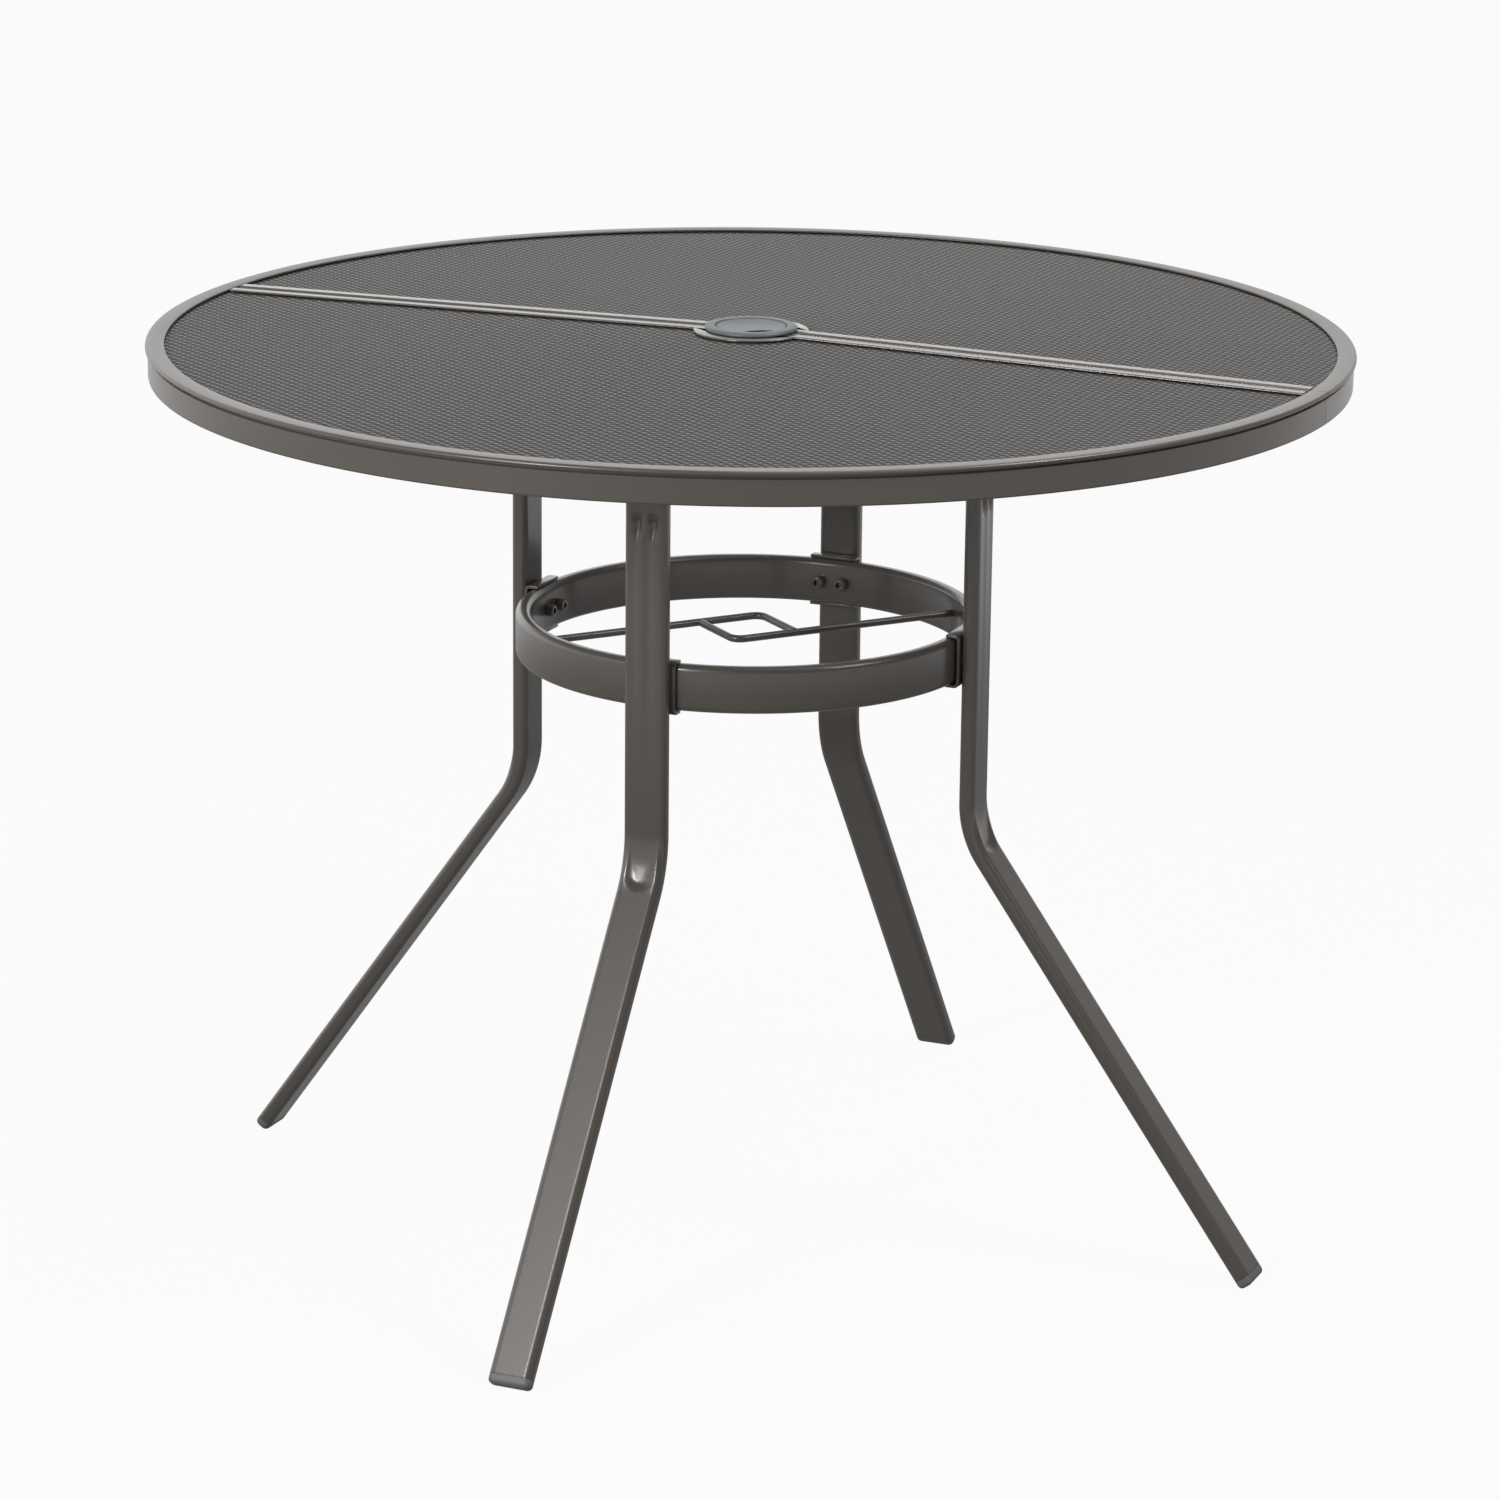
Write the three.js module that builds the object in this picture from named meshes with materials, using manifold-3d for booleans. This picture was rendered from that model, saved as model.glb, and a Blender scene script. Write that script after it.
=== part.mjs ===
// A round steel garden table with an umbrella hole, 950 mm across and 726 mm high to its rim.
// The top is two half frames of rolled sheet, each round a steel mesh panel, that meet in a seam.
// Four bent flat tube legs carry it. A ring clamped between the legs holds two rods that guide the pole.
// Sizes are millimetres, +Z is up, the origin is on the floor under the hole and X runs along the seam.
import * as THREE from 'three';
import { mergeVertices } from 'three/addons/utils/BufferGeometryUtils.js';
import Module from 'manifold-3d';

const wasm = await Module();
wasm.setup();

// Gaps and cuts that all pieces share
const clearance = 0.3;
const cutOverrun = 5;

// The top as a whole
const tableRadius = 475;
const tableHeight = 726;
const crownHeight = 5;
const seamGap = 0.6;
const rimSteps = 32;

// The rolled sheet section of the half frames: a bead on top and a skirt that hangs from it
const sheetWall = 1.5;
const beadThickness = 4.7;
const lipThickness = 2;
const lipRound = 0.8;
const beadRound = 1;
const beadRoll = 3.6;
const rollSteps = 2;
const skirtInset = 2;
const rimWidth = 15;
const rimDepth = 26;
const hemWidth = 8;
const seamBarWidth = 13;
const seamBarDepth = 10;

// The half rings round the umbrella hole, and the mesh panels
const hubInner = 31.5;
const hubOuter = 49;
const hubSteps = 18;
const panelThickness = 1.6;
const panelSteps = 16;
const panelBorder = 8;
const openingPitchLong = 124;
const openingPitchWide = 78;
const openingShare = 0.71;

// The plastic grommet and the lift-out cap
const grommetBore = 24.5;
const grommetFlangeRadius = 36.7;
const grommetFlangeHeight = 4;
const grommetLength = 27;
const grommetLipRound = 2.4;
const barbReach = 1.6;
const barbHeight = 4;
const capSeatRadius = 28.2;
const capThickness = 3;
const capSink = 0.7;
const capEdgeRound = 0.9;
const capSkirtDepth = 16;
const capSkirtWall = 2.5;
const notchRadius = 16;
const notchDepth = 6;
const notchTurn = -46;
const roundSteps = 36;

// The legs of flat tube
const tubeWidth = 35;
const tubeThickness = 13;
const tubeCorner = 5.5;
const tubeWall = 1.5;
const legRadius = 195.5;
const armSetback = 20;
const armBend = 72;
const kneeHeight = 344.6;
const kneeBend = 80;
const splay = 35.7;
const bendSteps = 5;
const dentDepth = 2.6;
const dentLength = 44;
const armDentDepth = 1.6;

// The foot caps
const capSleeve = 8;
const capPlug = 16;
const capEndRound = 4;
const capRestHalfAngle = 18;

// The ring brace and the rods that guide the pole
const ringHeight = 37;
const ringThickness = 12.5;
const ringCorner = 4.5;
const ringMiddle = 486.2;
const ringSteps = 48;
const rodDiameter = 6;
const rodBend = 9;
const rodSides = 10;
const rodRise = 2.8;
const poleGapAlong = 49.2;
const poleGapAcross = 55.4;
const rodTurn = 50.8;

// The saddle clamps between the legs and the ring
const saddleThickness = 2.5;
const saddleWidth = 40;
const saddleReach = 9;
const saddleBend = 2;

// The screws, their nuts and the lugs under the rim
const screwDiameter = 6;
const headDiameter = 10;
const ringHeadHeight = 6;
const armHeadHeight = 3.4;
const headChamfer = 0.6;
const socketWidth = 5;
const socketShare = 0.56;
const screwSpacing = 20;
const screwSides = 12;
const nutDiameter = 9;
const nutLength = 9;
const threadEnd = 1;
const lugWidth = 40;
const lugThickness = 2.5;
const lugLength = 48;
const lugTabDepth = 9.5;
const lugScrewSetback = 33;

// Sizes that follow from those above
const rimInner = tableRadius - rimWidth;
const skirtInner = tableRadius - skirtInset - sheetWall;
const rimFacet = Math.cos(Math.PI / rimSteps / 2);
const hubTop = tableHeight + crownHeight;
const armEnd = skirtInner - armSetback;
const lugInnerEdge = skirtInner - lugLength;
const lugScrewRadius = skirtInner - lugScrewSetback;
const armHeight = tableHeight - seamBarDepth - lugThickness - tubeThickness / 2 - 2 * clearance;
const ringOuter = legRadius - tubeThickness / 2 - saddleThickness - 2 * clearance;
const ringInner = ringOuter - ringThickness;
const ringFacet = Math.cos(Math.PI / ringSteps);
const degrees = Math.PI / 180;

const paint = { color: 0x5c5852, roughness: 0.42, metalness: 0.35 };
const darkPaint = { color: 0x4a4743, roughness: 0.5, metalness: 0.3 };
const meshPaint = { color: 0x6a6767, roughness: 0.6, metalness: 0.3 };
const greyPlastic = { color: 0x6f7877, roughness: 0.5, metalness: 0 };
const footPlastic = { color: 0x5f605f, roughness: 0.6, metalness: 0 };
const zinc = { color: 0x3c3c3d, roughness: 0.4, metalness: 0.8 };

const table = new THREE.Group();

// Names one solid, gives it its finish and hangs it in its group
function addPiece(name, geometry, finish, parent = table) {
  const mesh = new THREE.Mesh(geometry, new THREE.MeshStandardMaterial(finish));
  mesh.name = name;
  parent.add(mesh);
  return mesh;
}

// Volume with its sign, which is negative when the faces point inwards
function signedVolume(positions, indices) {
  const a = new THREE.Vector3();
  const b = new THREE.Vector3();
  const c = new THREE.Vector3();
  let sum = 0;
  for (let i = 0; i < indices.length; i += 3) {
    a.fromArray(positions, indices[i] * 3);
    b.fromArray(positions, indices[i + 1] * 3);
    c.fromArray(positions, indices[i + 2] * 3);
    sum += a.dot(b.cross(c)) / 6;
  }
  return sum;
}

// Turns points and triangles into a geometry whose faces point out
function closedGeometry(points, indices) {
  const positions = points.flatMap((point) => [point.x, point.y, point.z]);
  if (signedVolume(positions, indices) < 0) indices.reverse();
  const geometry = new THREE.BufferGeometry();
  geometry.setAttribute('position', new THREE.Float32BufferAttribute(positions, 3));
  geometry.setIndex(indices);
  return geometry;
}

// Joins like rings of points, each to the next, with quads split into triangles
function ringWalls(indices, rings, count, offset, loop) {
  const last = loop ? rings : rings - 1;
  for (let i = 0; i < last; i++) {
    for (let k = 0; k < count; k++) {
      const here = offset + i * count;
      const next = offset + ((i + 1) % rings) * count;
      const after = (k + 1) % count;
      indices.push(here + k, here + after, next + k);
      indices.push(next + k, here + after, next + after);
    }
  }
}

// A solid through rings of points that each follow one flat outline, with flat ends or closed in a loop
function loft(rings, outline, loop = false) {
  const count = outline.length;
  const indices = [];
  ringWalls(indices, rings.length, count, 0, loop);
  if (!loop) {
    const end = (rings.length - 1) * count;
    for (const [i, j, k] of THREE.ShapeUtils.triangulateShape(outline, [])) {
      indices.push(k, j, i, end + i, end + j, end + k);
    }
  }
  return closedGeometry(rings.flat(), indices);
}

// A tube with an open bore, through outer and inner rings of as many points each
function loftTube(outer, inner) {
  const count = outer[0].length;
  const bore = outer.length * count;
  const indices = [];
  ringWalls(indices, outer.length, count, 0, false);
  const boreWalls = [];
  ringWalls(boreWalls, inner.length, count, bore, false);
  indices.push(...boreWalls.reverse());
  for (let k = 0; k < count; k++) {
    const after = (k + 1) % count;
    const farOuter = (outer.length - 1) * count;
    const farInner = bore + farOuter;
    indices.push(after, k, bore + after, bore + after, k, bore + k);
    indices.push(farOuter + k, farOuter + after, farInner + k);
    indices.push(farInner + k, farOuter + after, farInner + after);
  }
  return closedGeometry([...outer.flat(), ...inner.flat()], indices);
}

// A geometry as a solid that can be joined and cut
function solidOf(geometry) {
  const bare = geometry.clone();
  bare.deleteAttribute('normal');
  bare.deleteAttribute('uv');
  const merged = mergeVertices(bare, 1e-5);
  const vertProperties = new Float32Array(merged.attributes.position.array);
  const triVerts = new Uint32Array(merged.index.array);
  return new wasm.Manifold(new wasm.Mesh({ numProp: 3, vertProperties, triVerts }));
}

// A joined or cut solid as a geometry again
function geometryOf(solid) {
  const mesh = solid.getMesh();
  const geometry = new THREE.BufferGeometry();
  geometry.setAttribute('position', new THREE.Float32BufferAttribute(mesh.vertProperties, 3));
  geometry.setIndex([...mesh.triVerts]);
  return geometry;
}

// A round bar between two points, for pins and for cutting holes
function roundBar(from, to, radius, sides = screwSides) {
  const along = to.clone().sub(from);
  const geometry = new THREE.CylinderGeometry(radius, radius, along.length(), sides);
  const turn = new THREE.Quaternion().setFromUnitVectors(new THREE.Vector3(0, 1, 0), along.normalize());
  geometry.applyQuaternion(turn);
  const middle = from.clone().add(to).multiplyScalar(0.5);
  return geometry.translate(middle.x, middle.y, middle.z);
}

// A rectangle with rounded corners, counter-clockwise, with extra points along its upper side
function roundedRectangle(width, height, radius, cornerSteps, upperShares = []) {
  const points = [];
  const centres = [[1, -1, -90], [1, 1, 0], [-1, 1, 90], [-1, -1, 180]];
  for (const [sideX, sideY, start] of centres) {
    for (let k = 0; k <= cornerSteps; k++) {
      const angle = (start + (90 * k) / cornerSteps) * degrees;
      const x = sideX * (width / 2 - radius) + radius * Math.cos(angle);
      const y = sideY * (height / 2 - radius) + radius * Math.sin(angle);
      points.push(new THREE.Vector2(x, y));
    }
    if (start === 0) {
      const flat = width / 2 - radius;
      for (const share of upperShares) points.push(new THREE.Vector2(flat * share, height / 2));
    }
  }
  return points;
}

// How far the crowned top stands above the rim at a distance from the hole's axis
function crownAt(radius) {
  const share = (rimInner - radius) / (rimInner - hubOuter);
  return crownHeight * Math.min(Math.max(share, 0), 1);
}

// The rolled section: x runs from the rolled edge to the lip over the mesh, y is up from the top face
function rolledSection(width, depth, hem) {
  const points = [];
  points.push(new THREE.Vector2(width, -lipThickness));
  points.push(new THREE.Vector2(width, -lipRound));
  points.push(new THREE.Vector2(width - lipRound, 0));
  for (let k = 0; k <= rollSteps; k++) {
    const angle = (90 + (90 * k) / rollSteps) * degrees;
    const x = beadRoll + beadRoll * Math.cos(angle);
    points.push(new THREE.Vector2(x, -beadRoll + beadRoll * Math.sin(angle)));
  }
  points.push(new THREE.Vector2(beadRound, -beadThickness));
  points.push(new THREE.Vector2(skirtInset, -beadThickness));
  points.push(new THREE.Vector2(skirtInset, -depth));
  if (hem > 0) {
    points.push(new THREE.Vector2(skirtInset + hem, -depth));
    points.push(new THREE.Vector2(skirtInset + hem, -depth + sheetWall));
    points.push(new THREE.Vector2(skirtInset + sheetWall, -depth + sheetWall));
  } else {
    points.push(new THREE.Vector2(skirtInset + sheetWall, -depth));
  }
  points.push(new THREE.Vector2(skirtInset + sheetWall, -lipThickness));
  return points;
}

// A half turn of a section about the hole's axis, cut flat where it meets the seam
function halfTurn(section, radiusOf, level, steps, side) {
  const rings = [];
  for (let i = 0; i <= steps; i++) {
    const angle = (Math.PI * i) / steps;
    rings.push(section.map((point) => {
      const radius = radiusOf(point.x);
      if (i > 0 && i < steps) {
        const x = radius * Math.cos(angle);
        return new THREE.Vector3(x, side * radius * Math.sin(angle), level + point.y);
      }
      const y = seamGap / 2;
      const x = Math.cos(angle) * Math.sqrt(radius * radius - y * y);
      return new THREE.Vector3(x, side * y, level + point.y);
    }));
  }
  return loft(rings, section);
}

// The rolled rim of one half of the top
function makeRim(side) {
  const section = rolledSection(rimWidth, rimDepth, hemWidth);
  return halfTurn(section, (x) => tableRadius - x, tableHeight, rimSteps, side);
}

// One straight seam bar from the half ring to the rim
function makeStraightBar(side, end) {
  const section = rolledSection(seamBarWidth, seamBarDepth, 0);
  const reach = Math.sqrt((rimInner * rimFacet) ** 2 - (seamGap / 2 + seamBarWidth) ** 2) - clearance;
  const stations = [hubInner + skirtInset, hubOuter, reach];
  const rings = stations.map((x) => section.map((point) => new THREE.Vector3(
    end * x,
    side * (seamGap / 2 + point.x),
    tableHeight + crownAt(x) + point.y,
  )));
  return loft(rings, section);
}

// The seam side of one half: two straight bars and the half ring round the hole, welded in one
function makeSeamBar(side) {
  const section = rolledSection(hubOuter - hubInner, seamBarDepth, 0);
  const ring = solidOf(halfTurn(section, (x) => hubInner + x, hubTop, hubSteps, side));
  const left = solidOf(makeStraightBar(side, -1));
  const right = solidOf(makeStraightBar(side, 1));
  return geometryOf(ring.add(left).add(right));
}

// The part of one half's panel that openings may take, between the lips of the frame and inside a border
function openRegion(side, low, high) {
  const block = (radius, steps) => solidOf(
    roundBar(new THREE.Vector3(0, 0, low), new THREE.Vector3(0, 0, high), radius, steps),
  );
  const reach = rimInner * rimFacet - panelBorder;
  const edge = seamGap / 2 + seamBarWidth + panelBorder;
  const half = new THREE.BoxGeometry(2 * tableRadius, tableRadius, high - low);
  half.translate(0, side * (edge + tableRadius / 2), (low + high) / 2);
  const disc = block(reach, 2 * panelSteps).subtract(block(hubOuter + panelBorder, panelSteps));
  return disc.intersect(solidOf(half));
}

// Cuts a staggered grid of diamond openings, coarser than the real mesh, into one half's panel
function openPanel(panel, side) {
  const low = tableHeight - lipThickness - panelThickness - cutOverrun;
  const high = hubTop + cutOverrun;
  const region = openRegion(side, low, high);
  const edge = seamGap / 2 + seamBarWidth + panelBorder;
  const diamond = new THREE.CylinderGeometry(1, 1, high - low, 4).rotateX(Math.PI / 2);
  diamond.scale((openingPitchLong / 2) * openingShare, (openingPitchWide / 2) * openingShare, 1);
  const columns = Math.ceil((2 * rimInner) / openingPitchLong);
  const rows = Math.ceil((2 * rimInner) / openingPitchWide);
  let opened = panel;
  for (let row = 0; row <= rows; row++) {
    for (let column = -columns; column <= columns; column++) {
      if ((row + column) % 2 !== 0) continue;
      const x = (column * openingPitchLong) / 2;
      const y = side * (edge + (row * openingPitchWide) / 2);
      const radius = Math.hypot(x, y);
      if (radius > rimInner - panelBorder || radius < hubOuter + panelBorder) continue;
      const opening = solidOf(diamond.clone().translate(x, y, (low + high) / 2));
      opened = opened.subtract(opening.intersect(region));
    }
  }
  return opened;
}

// The mesh panel of one half, a shallow cone whose edges lie under the lips of the frame
function makePanel(side) {
  const frameSkirt = skirtInset + sheetWall + clearance;
  const edge = seamGap / 2 + frameSkirt;
  const radii = [hubInner + frameSkirt, hubOuter, rimInner, skirtInner * rimFacet - clearance];
  const rings = radii.map((radius) => {
    const start = Math.asin(edge / radius);
    const upper = [];
    for (let i = 0; i <= panelSteps; i++) {
      const angle = start + ((Math.PI - 2 * start) * i) / panelSteps;
      const top = tableHeight - lipThickness - clearance + crownAt(radius);
      upper.push(new THREE.Vector3(radius * Math.cos(angle), side * radius * Math.sin(angle), top));
    }
    const drop = new THREE.Vector3(0, 0, -panelThickness);
    const lower = upper.map((point) => point.clone().add(drop)).reverse();
    return [...upper, ...lower];
  });
  const count = panelSteps + 1;
  const indices = [];
  ringWalls(indices, rings.length, 2 * count, 0, false);
  const last = (rings.length - 1) * 2 * count;
  for (let i = 0; i < panelSteps; i++) {
    const low = 2 * count - 1 - i;
    indices.push(i + 1, i, low, i + 1, low, low - 1);
    indices.push(last + i, last + i + 1, last + low, last + low, last + i + 1, last + low - 1);
  }
  return geometryOf(openPanel(solidOf(closedGeometry(rings.flat(), indices)), side));
}

for (const [half, side] of [['front', -1], ['rear', 1]]) {
  addPiece(`${half}_rim`, makeRim(side), paint);
  addPiece(`${half}_seam_bar`, makeSeamBar(side), paint);
  addPiece(`${half}_mesh_panel`, makePanel(side), meshPaint);
}

// A profile of radius and height pairs spun about the hole's axis
function spin(profile, steps = roundSteps) {
  const points = profile.map(([radius, height]) => new THREE.Vector2(radius, height));
  return new THREE.LatheGeometry(points, steps).rotateX(Math.PI / 2);
}

// The grommet: a round lip over the half rings, a seat for the cap, a bore for the pole and a barb
function makeGrommet() {
  const bottom = hubTop + clearance;
  const top = bottom + grommetFlangeHeight;
  const sleeve = hubInner * Math.cos(Math.PI / hubSteps / 2) - clearance;
  const seat = top - capSink - capThickness - clearance;
  const foot = bottom - grommetLength;
  const barbTop = hubTop - beadThickness - 2 * clearance;
  return spin([
    [grommetBore, foot],
    [sleeve - capEdgeRound, foot],
    [sleeve, foot + capEdgeRound],
    [sleeve, barbTop - barbHeight],
    [sleeve + barbReach, barbTop - capEdgeRound],
    [sleeve + barbReach, barbTop],
    [sleeve, barbTop],
    [sleeve, bottom],
    [grommetFlangeRadius, bottom],
    [grommetFlangeRadius, top - grommetLipRound],
    [grommetFlangeRadius - grommetLipRound * 0.3, top - grommetLipRound * 0.3],
    [grommetFlangeRadius - grommetLipRound, top],
    [capSeatRadius + capEdgeRound, top],
    [capSeatRadius, top - capEdgeRound],
    [capSeatRadius, seat],
    [grommetBore, seat],
    [grommetBore, foot],
  ]);
}

// The cap: a disc that drops into the grommet, with a skirt into the bore and a notch for a finger
function makeHoleCap() {
  const top = hubTop + clearance + grommetFlangeHeight - capSink;
  const under = top - capThickness;
  const facet = Math.cos(Math.PI / roundSteps);
  const edge = capSeatRadius * facet - clearance;
  const skirt = grommetBore * facet - clearance;
  const hollow = skirt - capSkirtWall;
  const disc = solidOf(spin([
    [0, top],
    [0, under],
    [hollow, under],
    [hollow, under - capSkirtDepth],
    [skirt - capEdgeRound, under - capSkirtDepth],
    [skirt, under - capSkirtDepth + capEdgeRound],
    [skirt, under],
    [edge, under],
    [edge, top - capEdgeRound],
    [edge - capEdgeRound, top],
    [0, top],
  ]));
  const reach = edge + notchRadius - notchDepth;
  const x = reach * Math.cos(notchTurn * degrees);
  const y = reach * Math.sin(notchTurn * degrees);
  const from = new THREE.Vector3(x, y, under - cutOverrun);
  const to = new THREE.Vector3(x, y, top + cutOverrun);
  return geometryOf(disc.subtract(solidOf(roundBar(from, to, notchRadius, roundSteps))));
}

addPiece('hole_grommet', makeGrommet(), greyPlastic);
addPiece('hole_cap', makeHoleCap(), greyPlastic);

// The tube's section with x across the tube and y towards its outer face, pressed in where it is bent
function tubeSection(inset, dent) {
  const width = tubeWidth - 2 * inset;
  const thickness = tubeThickness - 2 * inset;
  const faceShares = [0.5, 0, -0.5];
  const points = roundedRectangle(width, thickness, tubeCorner - inset, 2, faceShares);
  const flat = tubeWidth / 2 - tubeCorner;
  for (const point of points) {
    const across = Math.min(Math.abs(point.x) / flat, 1);
    if (point.y > 0) point.y -= dent * (0.5 + 0.5 * Math.cos(Math.PI * across));
  }
  return points;
}

const splayAngle = splay * degrees;
const footRest = capEndRound * Math.cos(capRestHalfAngle * degrees);
const footHeight = (tubeThickness / 2 - capEndRound) * Math.sin(splayAngle)
  - capEndRound * Math.cos(splayAngle) + footRest;
const footRadius = legRadius + (kneeHeight - footHeight) * Math.tan(splayAngle);

// How deep the dent of a bend is at a distance along the tube from the bend's middle
function dentAt(distance, depth) {
  const share = Math.min(Math.abs(distance) / (dentLength / 2), 1);
  return depth * (0.5 + 0.5 * Math.cos(Math.PI * share));
}

// The stations of a leg from the end of its arm to its foot: place, heading and dent, in the leg's plane
function legStations() {
  const stations = [{ x: armEnd, z: armHeight, heading: 0, dent: 0 }];
  const armCentre = { x: legRadius + armBend, z: armHeight - armBend };
  for (let k = 0; k <= bendSteps; k++) {
    const heading = (Math.PI / 2) * (k / bendSteps);
    const x = armCentre.x - armBend * Math.sin(heading);
    const z = armCentre.z + armBend * Math.cos(heading);
    const dent = dentAt(armBend * (heading - Math.PI / 2 + splayAngle / 2), armDentDepth);
    stations.push({ x, z, heading, dent });
  }
  const kneeTangent = kneeBend * Math.tan(splayAngle / 2);
  const kneeCentre = { x: legRadius + kneeBend, z: kneeHeight + kneeTangent };
  for (let k = 0; k <= bendSteps; k++) {
    const turn = splayAngle * (k / bendSteps);
    const x = kneeCentre.x - kneeBend * Math.cos(turn);
    const z = kneeCentre.z - kneeBend * Math.sin(turn);
    const dent = dentAt(kneeBend * (turn - splayAngle / 2), dentDepth);
    stations.push({ x, z, heading: Math.PI / 2 + turn, dent });
  }
  const end = capSleeve + clearance;
  const x = footRadius - end * Math.sin(splayAngle);
  const z = footHeight + end * Math.cos(splayAngle);
  stations.push({ x, z, heading: Math.PI / 2 + splayAngle, dent: 0 });
  return stations;
}

// A ring of points round a station, with the section's y towards the outer side of the leg
function ringAt(station, section) {
  const outX = Math.sin(station.heading);
  const outZ = -Math.cos(station.heading);
  return section.map((point) => new THREE.Vector3(
    station.x + point.y * outX,
    point.x,
    station.z + point.y * outZ,
  ));
}

// A leg: the tube itself, with holes for the rivet nuts at the ring and for the screws through its arm
function makeLeg() {
  const stations = legStations();
  const outer = stations.map((station) => ringAt(station, tubeSection(0, station.dent)));
  const inner = stations.map((station) => ringAt(station, tubeSection(tubeWall, station.dent)));
  let leg = solidOf(loftTube(outer, inner));
  const innerFace = legRadius - tubeThickness / 2;
  for (const y of [-screwSpacing / 2, screwSpacing / 2]) {
    const from = new THREE.Vector3(innerFace - cutOverrun, y, ringMiddle);
    const to = new THREE.Vector3(innerFace + tubeThickness / 2, y, ringMiddle);
    leg = leg.subtract(solidOf(roundBar(from, to, nutDiameter / 2 + clearance)));
    const low = new THREE.Vector3(lugScrewRadius, y, armHeight - tubeThickness);
    const high = new THREE.Vector3(lugScrewRadius, y, armHeight + tubeThickness);
    leg = leg.subtract(solidOf(roundBar(low, high, screwDiameter / 2 + clearance)));
  }
  return geometryOf(leg);
}

// A foot cap: a sleeve of the tube's own outline with a rounded end, and a plug up the bore
function makeFootCap() {
  const along = new THREE.Vector2(Math.sin(splayAngle), -Math.cos(splayAngle));
  const heading = Math.PI / 2 + splayAngle;
  const plug = tubeWall + clearance;
  const middle = 90 - splay;
  const rounds = [0, middle - capRestHalfAngle, middle + capRestHalfAngle, 90];
  const steps = [[-capSleeve - capPlug, plug], [-capSleeve, plug], [-capSleeve, 0]];
  for (const round of rounds) {
    const advance = capEndRound * Math.sin(round * degrees) - capEndRound;
    steps.push([advance, capEndRound - capEndRound * Math.cos(round * degrees)]);
  }
  const rings = steps.map(([distance, inset]) => {
    const x = footRadius + along.x * distance;
    const z = footHeight + along.y * distance;
    return ringAt({ x, z, heading }, tubeSection(inset, 0));
  });
  return loft(rings, tubeSection(0, 0));
}

// A saddle clamp: a channel that holds the ring's outer side and lies flat against the leg
function makeSaddle() {
  const inside = ringOuter + clearance;
  const outside = inside + saddleThickness;
  const halfInside = ringHeight / 2 + clearance;
  const halfOutside = halfInside + saddleThickness;
  const tip = inside - saddleReach;
  const outerBend = saddleBend + saddleThickness;
  const shape = new THREE.Shape();
  shape.moveTo(tip, -halfOutside);
  shape.absarc(outside - outerBend, -halfOutside + outerBend, outerBend, -Math.PI / 2, 0, false);
  shape.absarc(outside - outerBend, halfOutside - outerBend, outerBend, 0, Math.PI / 2, false);
  shape.lineTo(tip, halfOutside);
  shape.lineTo(tip, halfInside);
  shape.absarc(inside - saddleBend, halfInside - saddleBend, saddleBend, Math.PI / 2, 0, true);
  shape.absarc(inside - saddleBend, -halfInside + saddleBend, saddleBend, 0, -Math.PI / 2, true);
  shape.lineTo(tip, -halfInside);
  const options = { depth: saddleWidth, bevelEnabled: false, curveSegments: 3 };
  const channel = new THREE.ExtrudeGeometry(shape, options);
  channel.rotateX(Math.PI / 2).translate(0, saddleWidth / 2, ringMiddle);
  let saddle = solidOf(channel);
  for (const y of [-screwSpacing / 2, screwSpacing / 2]) {
    const from = new THREE.Vector3(inside - cutOverrun, y, ringMiddle);
    const to = new THREE.Vector3(outside + cutOverrun, y, ringMiddle);
    saddle = saddle.subtract(solidOf(roundBar(from, to, screwDiameter / 2 + clearance)));
  }
  return geometryOf(saddle);
}

// A socket head screw with its head below the origin and its shank along +Z
function makeScrew(length, headHeight) {
  const head = headDiameter / 2;
  const shank = screwDiameter / 2;
  const body = solidOf(spin([
    [0, -headHeight],
    [head - headChamfer, -headHeight],
    [head, -headHeight + headChamfer],
    [head, 0],
    [shank, 0],
    [shank, length],
    [0, length],
    [0, -headHeight],
  ], screwSides));
  const from = new THREE.Vector3(0, 0, -headHeight - cutOverrun);
  const to = new THREE.Vector3(0, 0, -headHeight * (1 - socketShare));
  const socket = solidOf(roundBar(from, to, socketWidth / 2 / Math.cos(Math.PI / 6), 6));
  return geometryOf(body.subtract(socket));
}

// A rivet nut, set flush in the leg's inner wall
function makeRivetNut() {
  const bore = screwDiameter / 2 + clearance;
  return spin([
    [bore, 0],
    [nutDiameter / 2, 0],
    [nutDiameter / 2, nutLength],
    [bore, nutLength],
    [bore, 0],
  ], screwSides);
}

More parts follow.
